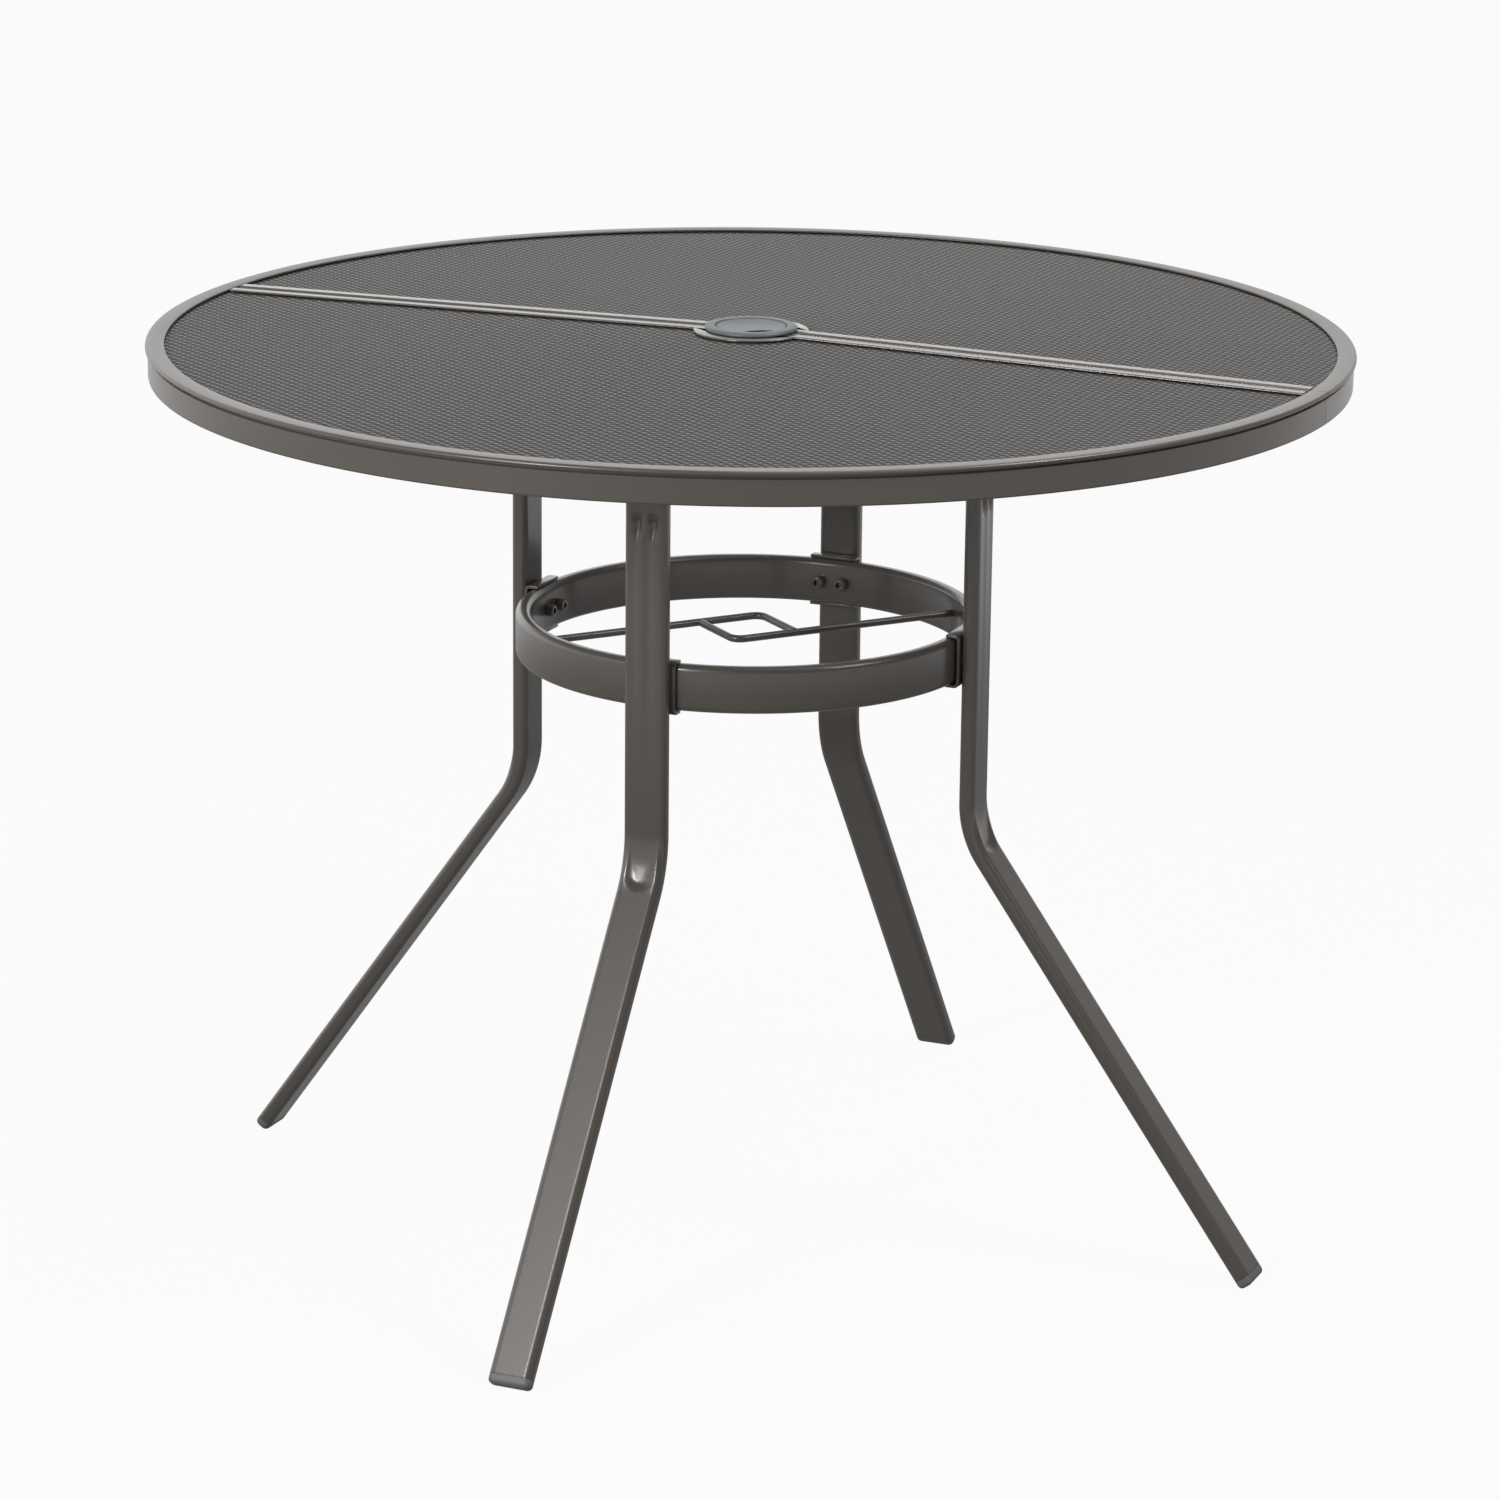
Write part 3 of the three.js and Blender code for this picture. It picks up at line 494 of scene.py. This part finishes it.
move_mesh(grid, Matrix.Translation((-mesh_long * columns / 2, -mesh_wide * rows / 2, 0)))
for count, step in ((columns, (mesh_long, 0, 0)), (rows, (0, mesh_wide, 0))):
    apply(grid, "ARRAY", count=count, use_relative_offset=False, use_constant_offset=True,
          constant_offset_displace=step, use_merge_vertices=False)
bpy.ops.object.mode_set(mode="EDIT")
merge(weld_reach)
bpy.ops.object.mode_set(mode="OBJECT")


def mesh_powder(name, strand_colour, bond_highlight_colour):
    """Powder coat on the mesh: the flat bonds are glossier than the strands, and their lighter grey is a
    painted highlight.
    """
    coat = bpy.data.materials.new(name)
    tree = new_tree(coat)
    place = tree.node("TexCoord", output="Object")
    along = tree.node("SeparateXYZ", output="X", Vector=place) * (2 * math.pi / mesh_long)
    across = tree.node("SeparateXYZ", output="Y", Vector=place) * (2 * math.pi / mesh_wide)
    lattice = tree.math("COSINE", along, 0.0) * tree.math("COSINE", across, 0.0)
    bond_start, bond_full = 0.35, 0.85
    bond = lattice.ease(bond_start, bond_full)
    cloud = tree.node("TexNoise", Vector=place, Scale=9.0, Detail=2.0)
    body = tree.node("BsdfPrincipled", Metallic=0.0, IOR=1.5, Coat_Roughness=0.2,
                     Coat_Weight=bond * 0.5, Roughness=0.5 - bond * 0.1 + cloud * 0.04,
                     Base_Color=bond.blend(strand_colour + (1,), bond_highlight_colour + (1,)))
    tree.node("OutputMaterial", Surface=body)
    return coat


mesh_coat = mesh_powder("mesh_coat", mesh_grey, bond_highlight_grey)
for half, side in (("front", -1), ("rear", 1)):
    panel = copy_piece(grid, f"{half}_mesh", Matrix.Identity(4))
    only(panel)
    bpy.ops.object.mode_set(mode="EDIT")
    pick("FACE", lambda m: not (mesh_hub_edge < math.hypot(m.x, m.y) < mesh_edge
                                and side * m.y > mesh_seam_edge))
    bpy.ops.mesh.delete(type="FACE")
    mesh = bmesh.from_edit_mesh(panel.data)
    for vert in mesh.verts:
        reach = math.hypot(vert.co.x, vert.co.y)
        kept = min(max(reach, mesh_hub_edge), mesh_edge)
        vert.co.x *= kept / reach
        vert.co.y = side * max(side * vert.co.y * kept / reach, mesh_seam_edge)
        vert.co.z += lip_under - half_gap - strand_lean - mesh_drop + rise_at(kept)
    bmesh.update_edit_mesh(panel.data)
    merge(weld_reach)
    bpy.ops.mesh.normals_make_consistent(inside=False)
    bpy.ops.object.mode_set(mode="OBJECT")
    if panel.data.polygons[0].normal.z < 0:
        panel.data.flip_normals()
    apply(panel, "SOLIDIFY", thickness=strand_thickness, offset=-1)
    smooth(panel, sharp=30)
    dress(panel, mesh_coat, f"{half}_mesh_panel")
bpy.data.objects.remove(grid)

# The grommet: a moulded plastic sleeve that snaps into the two half rings. Its round lip lies on them,
# a step inside the lip carries the cap, and the umbrella's pole goes down its bore.
bore, lip_radius, lip_height, sleeve, sleeve_length = 0.0245, 0.0367, 0.0032, 0.0309, 0.027
seat_radius, cap_thickness, cap_sink = 0.0282, 0.003, 0.0007
barb_reach, barb_height, mould_round, mould_steps = 0.0016, 0.004, 0.0009, 72
lip_curve, lip_curve_drop, seat_mouth = 0.0021, 0.0022, 0.0010
lip_bottom = table_height + hub_rise + half_gap
lip_top = lip_bottom + lip_height
plastic_grey = (0.108, 0.126, 0.130)


def turned(name, profile, steps=mould_steps, closed=True):
    """A round piece through radius and height pairs, each ring extruded from the last and resized. A
    profile that doesn't close on itself gets a flat face at each end."""
    radius, height = profile[0]
    piece = begin(bpy.ops.mesh.primitive_circle_add, name, vertices=steps, radius=radius,
                  location=(0, 0, height), fill_type="NOTHING")
    for next_radius, next_height in profile[1:]:
        extrude((0, 0, next_height - height))
        resize((next_radius / radius, next_radius / radius, 1))
        radius, height = next_radius, next_height
    if not closed:
        bpy.ops.mesh.edge_face_add()
        first_radius, first_height = profile[0]
        pick("EDGE", lambda m: near(m.z, first_height)
             and near(math.hypot(m.x, m.y), first_radius, wide_slack))
        bpy.ops.mesh.edge_face_add()
    return piece


def rounded(centre_radius, centre_height, size, start, end, steps):
    """Radius and height pairs along an arc, its angles in degrees from the outward direction."""
    angles = [math.radians(start + (end - start) * k / steps) for k in range(steps + 1)]
    return [(centre_radius + size * math.cos(a), centre_height + size * math.sin(a)) for a in angles]


def moulded(name, colour, roughness=0.42):
    """Moulded plastic: fine spark texture, soft sheen and a faint flow pattern."""
    plastic = bpy.data.materials.new(name)
    tree = new_tree(plastic)
    place = tree.node("TexCoord", output="Object")
    flow = tree.node("TexNoise", Vector=place, Scale=38.0, Detail=2.0, Distortion=0.6)
    spark = tree.node("TexNoise", Vector=place, Scale=1700.0, Detail=2.0)
    tone = flow * 0.7 + spark * 0.3
    rough_spread = 0.12
    body = tree.node("BsdfPrincipled", Metallic=0.0, IOR=1.48,
                     Base_Color=tone.blend(*tones(colour, 0.1)),
                     Roughness=spark * rough_spread + (roughness - rough_spread / 2),
                     Normal=tree.node("Bump", Strength=0.25, Distance=0.0001, Height=spark))
    tree.node("OutputMaterial", Surface=body)
    return plastic


seat = lip_top - cap_sink - cap_thickness - half_gap
sleeve_foot = lip_bottom - sleeve_length
barb, barb_top = sleeve + barb_reach, table_height + hub_rise - bead - 2 * half_gap
grommet = turned("grommet_moulding", [
    (bore, sleeve_foot), (sleeve - mould_round, sleeve_foot), (sleeve, sleeve_foot + mould_round),
    (sleeve, barb_top - barb_height), (barb, barb_top - mould_round), (barb, barb_top),
    (sleeve, barb_top), (sleeve, lip_bottom), (lip_radius - mould_round, lip_bottom),
    *rounded(lip_radius - mould_round, lip_bottom + mould_round, mould_round, -90, 0, 4),
    *rounded(lip_radius - lip_curve, lip_top - lip_curve_drop, lip_curve, 0, 78, 7),
    *rounded(seat_radius + seat_mouth, lip_top - mould_round, mould_round, 90, 180, 4),
    (seat_radius, seat), (bore, seat), (bore, sleeve_foot),
])
close_up(grommet, sharp=40)
grommet_plastic = moulded("grommet_plastic", plastic_grey)
dress(grommet, grommet_plastic, "hole_grommet")

# The cap that closes the hole: a moulded plastic disc that drops into the grommet, with a skirt into the
# bore. A notch in its edge, hollow behind, lets a finger lift it out.
cap_radius, cap_skirt, cap_skirt_wall, cap_skirt_foot = 0.0278, 0.0241, 0.0025, 0.7156
dish_edge, dish_floor, dish_depth = 0.0030, 0.0034, 0.00012
notch_radius, notch_depth, notch_turn = 0.024, 0.0085, math.radians(-52)
notch_foot, pocket_more, pocket_roof = 0.001, 0.012, 0.0004
cap_top = lip_top - cap_sink
cap_under = cap_top - cap_thickness
cap = turned("cap_moulding", [
    (cap_skirt - cap_skirt_wall, cap_under), (cap_skirt - cap_skirt_wall, cap_skirt_foot),
    (cap_skirt - mould_round, cap_skirt_foot), (cap_skirt, cap_skirt_foot + mould_round),
    (cap_skirt, cap_under), (cap_radius, cap_under),
    *rounded(cap_radius - mould_round, cap_top - mould_round, mould_round, 0, 90, 4),
    (cap_radius - dish_edge, cap_top), (cap_radius - dish_floor, cap_top - dish_depth),
], closed=False)
close_up(cap, sharp=40)
notch_reach = cap_radius + notch_radius - notch_depth
notch_place = (notch_reach * math.cos(notch_turn), notch_reach * math.sin(notch_turn))
for name, radius, height in (("notch", notch_radius, cap_top + past_face),
                             ("pocket", notch_radius + pocket_more, cap_top - pocket_roof)):
    join(cap, disc(name, radius, cap_under - notch_foot, height, mould_steps, notch_place), "DIFFERENCE")
smooth(cap, sharp=40)
dress(cap, grommet_plastic, "hole_cap", body="cap")

# The legs. Each is one flat steel tube, 35 by 13 mm with a 1.5 mm wall, bent cold so that the inner side
# of each bend buckles to a dent. Its arm runs out under the top, where two screws hold it to the lugs.
leg_turns = {"right": 0, "rear": 90, "left": 180, "front": 270}
tube_width, tube_thickness, tube_corner, tube_wall = 0.035, 0.013, 0.0048, 0.0015
leg_radius, knee_height, splay = 0.1955, 0.3446, math.radians(35.7)
arm_height, arm_end, arm_bend, knee_bend = 0.7064, 0.4515, 0.072, 0.080
cap_sleeve, bend_steps, corner_steps, face_cuts = 0.0083, 40, 6, 17
dent_reach, arm_rows, knee_rows = 0.030, 7, 12
foot_point = Vector((0.44167, 0, 0.002015))
down = Vector((math.sin(splay), 0, -math.cos(splay)))
outward = Vector((math.cos(splay), 0, math.sin(splay)))


def flat_tube(name, width, thickness, corner, filled=False, cuts=0):
    """The rounded outline of a flat tube, its thickness along X and its width along Y."""
    piece = begin(bpy.ops.mesh.primitive_plane_add, name, size=1)
    resize((thickness, width, 1))
    bevel(corner, corner_steps, "VERTICES")
    pick_all()
    if not filled:
        bpy.ops.mesh.delete(type="ONLY_FACE")
    if cuts:
        pick("EDGE", lambda m: near(abs(m.x), thickness / 2) and near(m.y, 0, wide_slack))
        bpy.ops.mesh.subdivide(number_cuts=cuts)
    if not filled:
        pick_all("EDGE")
    return piece


def extrude_rows(move, rows):
    """Extrudes in equal rows, fine enough to be pressed in later."""
    for _ in range(rows):
        extrude(move)


def at_each_leg(piece, ending, material, node_ending):
    """Dresses the right leg's piece and sets dressed copies of it at the other legs."""
    for place, degrees in leg_turns.items():
        one = piece if place == "right" else copy_piece(piece, f"{place}_{ending}", turn(degrees))
        dress(one, material, f"{place}_{node_ending}")


leg = flat_tube("right_leg_tube", tube_width, tube_thickness, tube_corner, cuts=face_cuts)
swing(math.pi / 2, "Y")
shift((arm_end, 0, arm_height))
extrude((leg_radius + arm_bend - arm_end, 0, 0))
arm_low = arm_height - arm_bend
arm_centre = Vector((leg_radius + arm_bend, 0, arm_low))
spin(math.pi / 2, bend_steps, (0, 1, 0), arm_centre)
knee_top = knee_height + knee_bend * math.tan(splay / 2)
knee_centre = Vector((leg_radius + knee_bend, 0, knee_top))
extrude((0, 0, -dent_reach / 4))
extrude_rows((0, 0, -dent_reach / 8), arm_rows)
extrude((0, 0, knee_top + dent_reach - arm_low + dent_reach / 4 + arm_rows * dent_reach / 8))
extrude_rows((0, 0, -dent_reach / knee_rows), knee_rows)
spin(splay, bend_steps, (0, 1, 0), knee_centre)
extrude_rows(down * dent_reach / knee_rows, knee_rows)
knee_end = knee_centre - knee_bend * outward
extrude(down * ((foot_point - knee_end).dot(down) - cap_sleeve - dent_reach))


def bump(value, centre, width):
    """A smooth hill that is 1 at its centre and 0 past its half width."""
    share = min(abs(value - centre) / width, 1)
    return 0.5 + 0.5 * math.cos(math.pi * share)


def knee_dent(across, along):
    """How far the face is pressed in at the knee: a deepening hollow that ends in a steep, bowed lip,
    between two low ridges."""
    start, deepest, lip_width, bow = -0.018, 0.014, 0.0105, 40
    half_width, depth = 0.0130, 0.0021
    ridge_place, ridge_width, ridge_middle, ridge_reach, ridge_height = 0.0125, 0.004, 0.004, 0.024, 0.0006
    along += bow * across ** 2
    if along < deepest:
        run = min(max((along - start) / (deepest - start), 0), 1) ** 1.7
    else:
        run = bump(along, deepest, lip_width)
    hollow = max(1 - abs(across / half_width) ** 2.6, 0) ** 1.6 * run * depth
    ridges = bump(across, ridge_place, ridge_width) + bump(across, -ridge_place, ridge_width)
    return hollow - ridges * bump(along, ridge_middle, ridge_reach) * ridge_height


def arm_dent(across, along):
    """The dent at the lower end of the arm's bend: two hollows beside a low ridge."""
    side, half_width, deepest, depth = 0.0065, 0.0060, 0.001, 0.0032
    steep_reach, long_reach = 0.0045, 0.021
    ridge_width, ridge_middle, ridge_reach, ridge_height = 0.0045, 0.009, 0.013, 0.0007
    pair = bump(across, side, half_width) + bump(across, -side, half_width)
    ridge = bump(across, 0, ridge_width) * bump(along, ridge_middle, ridge_reach) * ridge_height
    return pair * bump(along, deepest, steep_reach if along < deepest else long_reach) * depth - ridge


face_level = tube_thickness / 2 - 0.0004
knee_region_top, knee_region_end = knee_top + dent_reach + 0.001, 0.35
arm_dent_foot, arm_dent_top, arm_dent_start = 0.59, 0.64, 0.6205
mesh = bmesh.from_edit_mesh(leg.data)
# The knee's dent, from the shank above the bend, round the bend and on to the foot's side of it.
for vert in mesh.verts:
    if vert.co.z > knee_region_top or vert.co.x > knee_region_end:
        continue
    spot = vert.co - knee_centre
    if spot.z > 0:
        along = -spot.z - knee_bend * splay / 2
        face, out = vert.co.x - leg_radius, Vector((1, 0, 0))
    elif spot.dot(down) > 0:
        along = spot.dot(down) + knee_bend * splay / 2
        face, out = spot.dot(outward) + knee_bend, outward
    else:
        radial = Vector((-spot.x, 0, -spot.z))
        along = knee_bend * (math.atan2(-spot.z, -spot.x) - splay / 2)
        face, out = knee_bend - radial.length, radial.normalized()
    if face > face_level:
        vert.co -= out * knee_dent(vert.co.y, along)
# The arm's dent, at the lower end of the arm's bend.
for vert in mesh.verts:
    if vert.co.z < arm_dent_foot or vert.co.z > arm_dent_top:
        continue
    if vert.co.z > arm_low:
        spot = vert.co - arm_centre
        face = arm_bend - math.hypot(spot.x, spot.z)
        out = -Vector((spot.x, 0, spot.z)).normalized()
    else:
        face, out = vert.co.x - leg_radius, Vector((1, 0, 0))
    if face > face_level:
        vert.co -= out * arm_dent(vert.co.y, arm_dent_start - vert.co.z)
bmesh.update_edit_mesh(leg.data)
close_up(leg)
apply(leg, "SOLIDIFY", thickness=tube_wall, offset=-1, use_even_offset=True)
smooth(leg)
leg_coat = powder_coat("leg_coat", frame_grey, roughness=0.34)
at_each_leg(leg, "leg_tube", leg_coat, "leg")

# The foot caps: moulded plastic caps that close the tubes and stand on the floor on a rounded end. Their
# plugs, inside the tubes, can't be seen and are left out.
foot_grey, foot_length, foot_lift, foot_round = (0.132, 0.132, 0.132), 0.008, 0.00035, 0.0038
foot = flat_tube("right_foot_moulding", tube_width, tube_thickness, tube_corner, filled=True)
swing(splay, "Y")
shift(foot_point - down * foot_length)
extrude(down * (foot_length - foot_lift))
end_face = foot_point - down * foot_lift
pick("EDGE", lambda m: near((m - end_face).dot(down), 0, wide_slack))
bevel(foot_round, segments=corner_steps)
close_up(foot, sharp=40)
foot_plastic = moulded("foot_plastic", foot_grey, roughness=0.5)
at_each_leg(foot, "foot_moulding", foot_plastic, "foot_cap")

# The ring brace: the same kind of flat tube, standing on edge, rolled to a circle and welded shut. It is
# coated like the legs, and its screw holes are left out under the screws' heads.
ring_outer, ring_thickness, ring_height, ring_middle = 0.1859, 0.0125, 0.037, 0.4862
ring_corner, ring_steps = 0.0048, 144
ring = flat_tube("ring_tube", ring_height, ring_thickness, ring_corner)
swing(math.pi / 2, "X")
shift((ring_outer - ring_thickness / 2, 0, ring_middle))
spin(2 * math.pi, ring_steps)
close_up(ring)
dress(ring, leg_coat, "ring_brace")

# The saddle clamps: channels folded from 2.5 mm strip and powder coated a little darker. Each holds the
# ring's outer side against a leg.
clamp_wall, clamp_width, clamp_tip, clamp_face = 0.0025, 0.040, 0.1772, 0.1887
clamp_fold, clamp_edge = 0.0042, 0.0004
clamp_half = ring_height / 2 + half_gap + clamp_wall
clamp = begin(bpy.ops.mesh.primitive_plane_add, "right_clamp_strip", size=1, rotation=(0, math.pi / 2, 0))
resize((1, clamp_width, 2 * clamp_half))
shift((clamp_face, 0, ring_middle))
for level in (clamp_half, -clamp_half):
    pick("EDGE", lambda m: near(m.z, ring_middle + level))
    extrude((clamp_tip - clamp_face, 0, 0))
pick("EDGE", lambda m: near(m.x, clamp_face) and near(abs(m.z - ring_middle), clamp_half))
bevel(clamp_fold, segments=5)
pick_all()
bpy.ops.mesh.normals_make_consistent(inside=False)
bpy.ops.object.mode_set(mode="OBJECT")
middle = min(clamp.data.polygons, key=lambda p: abs(p.center.z - ring_middle))
if middle.normal.x < 0:
    clamp.data.flip_normals()
apply(clamp, "SOLIDIFY", thickness=clamp_wall, offset=-1, use_even_offset=True)
apply(clamp, "BEVEL", width=clamp_edge, segments=2, limit_method="ANGLE", angle_limit=math.radians(50))
smooth(clamp)
clamp_coat = powder_coat("clamp_coat", shaded(frame_grey, 0.9), roughness=0.32)
at_each_leg(clamp, "clamp_strip", clamp_coat, "saddle_clamp")

# The ring screws: M6 socket head screws, two at each leg, through the ring and the clamp into the leg.
# They are painted over with the frame, sockets and all.
head_radius, head_height, shank_radius, shank_length = 0.005, 0.006, 0.003, 0.0244
head_chamfer, head_round, head_steps = 0.0003, 0.0010, 40
socket_radius, socket_share, past_head = 0.00289, 0.44, 0.002
head_seat, screw_half = 0.1721, 0.010
screw = turned("ring_screw", [
    (shank_radius, shank_length), (shank_radius, 0), (head_radius - head_chamfer, 0),
    (head_radius, -head_chamfer), (head_radius, -head_height + head_round),
    *rounded(head_radius - head_round, -head_height + head_round, head_round, 0, -90, 4)[1:],
], head_steps, closed=False)
close_up(screw, sharp=40)
socket = disc("socket", socket_radius, -head_height - past_head, -head_height * socket_share, 6)
join(screw, socket, "DIFFERENCE")
smooth(screw, sharp=40)
move_mesh(screw, turn(90, "Y"))
screw_coat = powder_coat("screw_coat", shaded(frame_grey, 0.95), roughness=0.3)
for place, degrees in leg_turns.items():
    for hand, y in (("a", -screw_half), ("b", screw_half)):
        spot = turn(degrees) @ Matrix.Translation((head_seat, y, ring_middle))
        piece = copy_piece(screw, f"{place}_screw_{hand}", spot)
        dress(piece, screw_coat, f"{place}_ring_screw_{hand}")
bpy.data.objects.remove(screw)

# The two rods that box in the umbrella's pole: 6 mm round bar, each bent once. A rod is welded to the
# ring at its long end and to the other rod at its short end.
rod_radius, rod_bend, rod_level, rod_turn = 0.003, 0.009, 0.489, 50.8
rod_along, rod_across, rod_reach = 0.0276, 0.0307, 0.1698
rod_sides, rod_bend_steps = 16, 10
bend_centre = (rod_along - rod_bend, rod_across - rod_bend, 0)
rod_end = rod_radius + half_gap - rod_across
rod = begin(bpy.ops.mesh.primitive_circle_add, "left_rod", vertices=rod_sides, radius=rod_radius,
            fill_type="NOTHING")
swing(math.pi / 2, "Y")
shift((-rod_reach, rod_across, 0))
extrude((rod_reach + rod_along - rod_bend, 0, 0))
spin(math.pi / 2, rod_bend_steps, centre=bend_centre)
extrude((0, rod_end - rod_across + rod_bend, 0))
pick("EDGE", lambda m: near(m.x, -rod_reach) or near(m.y, rod_end))
bpy.ops.mesh.edge_face_add()
close_up(rod)
move_mesh(rod, Matrix.Translation((0, 0, rod_level)) @ turn(rod_turn))
dress(rod, leg_coat, "left_pole_guide_rod")
dress(copy_piece(rod, "right_rod", turn(180)), leg_coat, "right_pole_guide_rod")

# Under the rim: welded lugs, the screws that hold the arms to them, and the rivet nuts in the legs. They
# keep their plain forms from the frame. The lugs are powder coated, the screws and nuts zinc plated.
lug_coat = powder_coat("lug_coat", shaded(frame_grey, 0.8), roughness=0.4)
zinc = powder_coat("zinc_plate", (0.30, 0.30, 0.29), roughness=0.35)
for name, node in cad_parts.items():
    if "lug" in name:
        finish = lug_coat
    elif "nut" in name or "arm_screw" in name:
        finish = zinc
    else:
        continue
    node.data.materials.clear()
    node.data.materials.append(finish)
